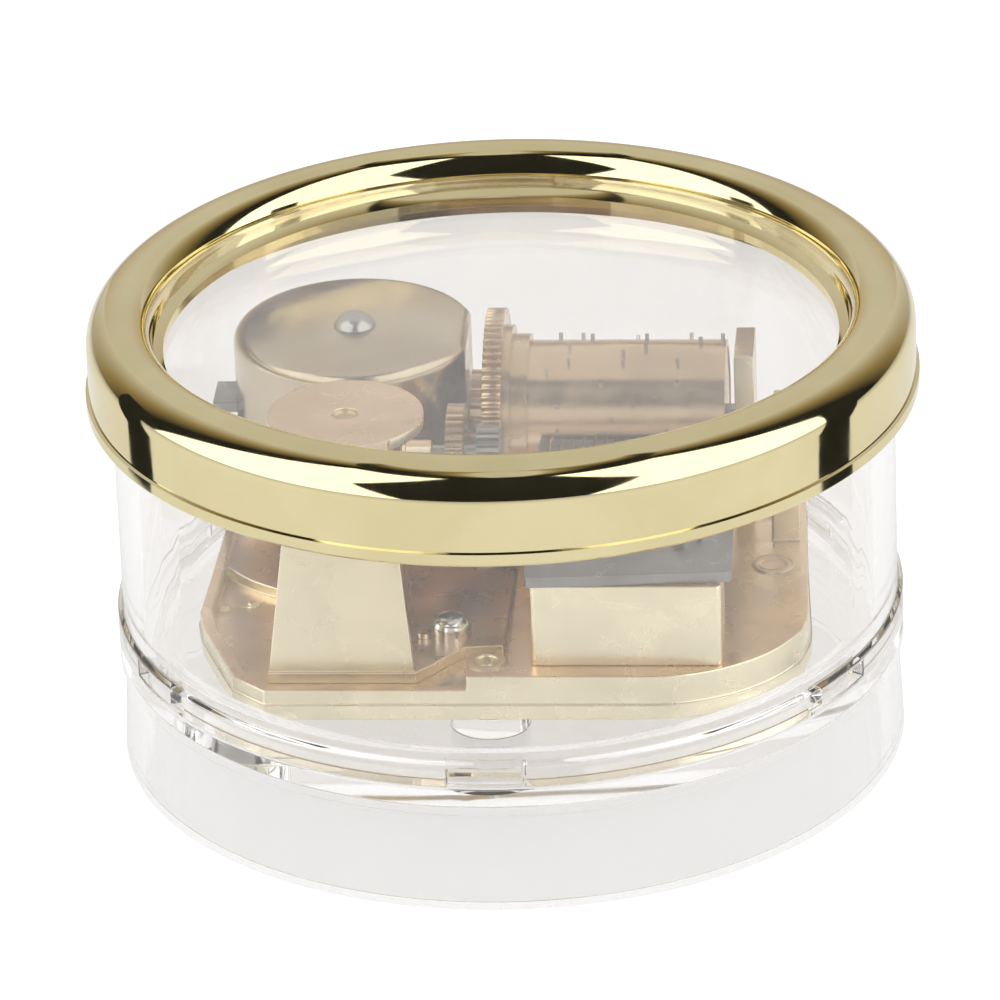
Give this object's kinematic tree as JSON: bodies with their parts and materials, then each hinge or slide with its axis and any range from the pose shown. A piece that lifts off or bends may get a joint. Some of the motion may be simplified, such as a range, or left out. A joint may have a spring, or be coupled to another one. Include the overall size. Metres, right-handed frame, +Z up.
{
  "type": "cylinder music box",
  "caption": "Wind-up cylinder music box: pinned cylinder, steel comb, spring drum and air-brake governor in a clear round case with a gilt ring.",
  "frame": {"origin": "centre of the round case on the surface it stands on", "axes": "+Z up along the case's axis, +X along the pinned cylinder away from the spring drum, -Y towards the comb's front"},
  "size_m": [0.0702, 0.0702, 0.0406],
  "materials": {
    "clear_plastic": "clear moulded acrylic",
    "gilt_plastic": "gold vacuum-plated, mirror gloss",
    "gilt_casting": "gold-plated zinc casting",
    "gilt_steel": "gold-plated pressed steel",
    "gilt_brass": "gold-plated brass",
    "brass": "cut brass",
    "grey_steel": "plain pressed steel",
    "spring_steel": "blued spring steel",
    "nickel_steel": "nickel-plated steel",
    "plated_screw": "bright zinc-plated steel",
    "comb_steel": "hardened and ground steel",
    "pin_steel": "steel wire"
  },
  "bodies": {
    "case": {"clear_base": "clear_plastic", "clear_cup": "clear_plastic", "gold_ring": "gilt_plastic", "case_screws": "plated_screw", "bedplate": "gilt_casting", "spring_housing": "gilt_steel", "housing_posts": "gilt_steel", "housing_bracket": "grey_steel", "mainspring": "spring_steel", "cylinder_bracket": "gilt_casting", "bracket_screw": "plated_screw", "comb_base": "gilt_casting", "comb": "comb_steel", "comb_screws": "plated_screw", "governor_frame": "gilt_casting", "governor_screw": "plated_screw", "locating_pin": "plated_screw", "worm_bush": "brass"},
    "winder": {"winding_key": "nickel_steel", "spring_arbor": "nickel_steel"},
    "crown_gear": {"drive_gear": "brass"},
    "cylinder": {"cylinder_tube": "gilt_brass", "cylinder_pins": "pin_steel", "cylinder_end_caps": "brass", "cylinder_gear": "brass", "drive_pinion": "brass", "cylinder_arbor": "nickel_steel"},
    "first_wheel_set": {"first_shaft": "nickel_steel", "first_wheel": "brass", "first_pinion": "nickel_steel"},
    "second_wheel_set": {"second_shaft": "nickel_steel", "second_pinion": "nickel_steel", "worm_wheel": "brass"},
    "governor": {"worm": "nickel_steel", "fan": "brass"}
  },
  "joints": [
    {"name": "cylinder_spin", "type": "hinge", "parent": "case", "child": "cylinder", "pos_m": [0, 0.01, 0.0233], "axis": [1, 0, 0], "continuous": true},
    {"name": "crown_gear_spin", "type": "hinge", "parent": "case", "child": "crown_gear", "pos_m": [-0.0133, 0.01, 0.018], "axis": [0, 0, 1], "continuous": true},
    {"name": "first_wheel_spin", "type": "hinge", "parent": "case", "child": "first_wheel_set", "pos_m": [0, -0.00085, 0.02511], "axis": [1, 0, 0], "continuous": true},
    {"name": "second_wheel_spin", "type": "hinge", "parent": "case", "child": "second_wheel_set", "pos_m": [0, -0.0044, 0.02141], "axis": [1, 0, 0], "continuous": true},
    {"name": "governor_spin", "type": "hinge", "parent": "case", "child": "governor", "pos_m": [-0.0126, -0.0084, 0.02], "axis": [0, 0, 1], "continuous": true},
    {"name": "winder_turn", "type": "hinge", "parent": "case", "child": "winder", "pos_m": [-0.0133, 0.01, 0.01], "axis": [0, 0, 1], "continuous": true}
  ],
  "couplings": [
    {"joint": "crown_gear_spin", "follows": "cylinder_spin", "ratio": 0.34615},
    {"joint": "first_wheel_spin", "follows": "cylinder_spin", "ratio": -4.5},
    {"joint": "second_wheel_spin", "follows": "cylinder_spin", "ratio": 13.95},
    {"joint": "governor_spin", "follows": "cylinder_spin", "ratio": 334.8}
  ]
}
